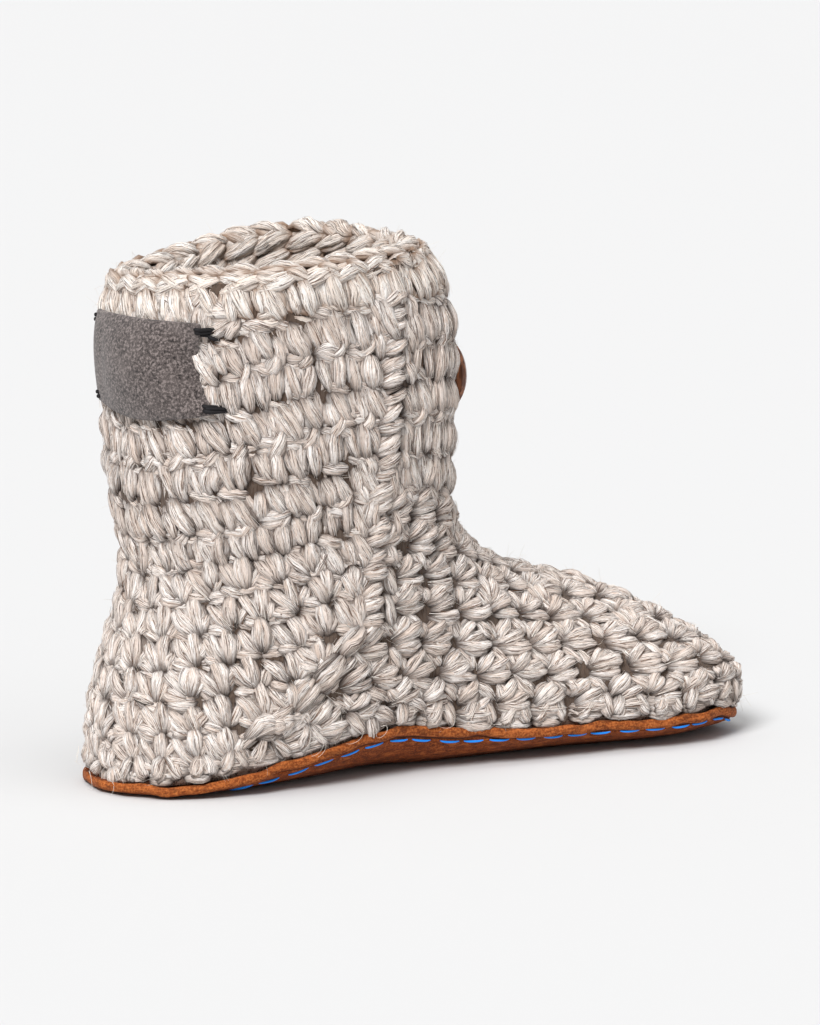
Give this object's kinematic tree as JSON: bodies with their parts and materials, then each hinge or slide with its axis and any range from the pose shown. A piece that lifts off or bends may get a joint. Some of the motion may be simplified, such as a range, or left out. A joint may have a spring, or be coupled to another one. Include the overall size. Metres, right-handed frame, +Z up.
{
  "type": "slipper boot",
  "caption": "Ankle-high house slipper boot: a thick crocheted wool upper, open at the collar, sewn to a thin leather sole, with a cloth tab behind and a round button in front.",
  "frame": {"origin": "middle of the whole boot's box, on the floor under the sole", "axes": "+X from heel to toe, +Z up, -Y the wearer's inner side"},
  "size_m": [0.2548, 0.1228, 0.1888],
  "materials": {
    "wool": "thick oatmeal wool yarn, crocheted, soft and hairy",
    "leather": "tan suede sole leather with a raw edge",
    "felt": "plain wool felt",
    "tab_cloth": "dark grey suede cloth",
    "button_wood": "brown turned wood, satin",
    "blue_thread": "bright blue sewing cord",
    "black_thread": "black sewing thread"
  },
  "bodies": {
    "root": {"upper": "wool", "outsole": "leather", "insole": "felt", "label": "tab_cloth", "button": "button_wood"}
  },
  "joints": []
}
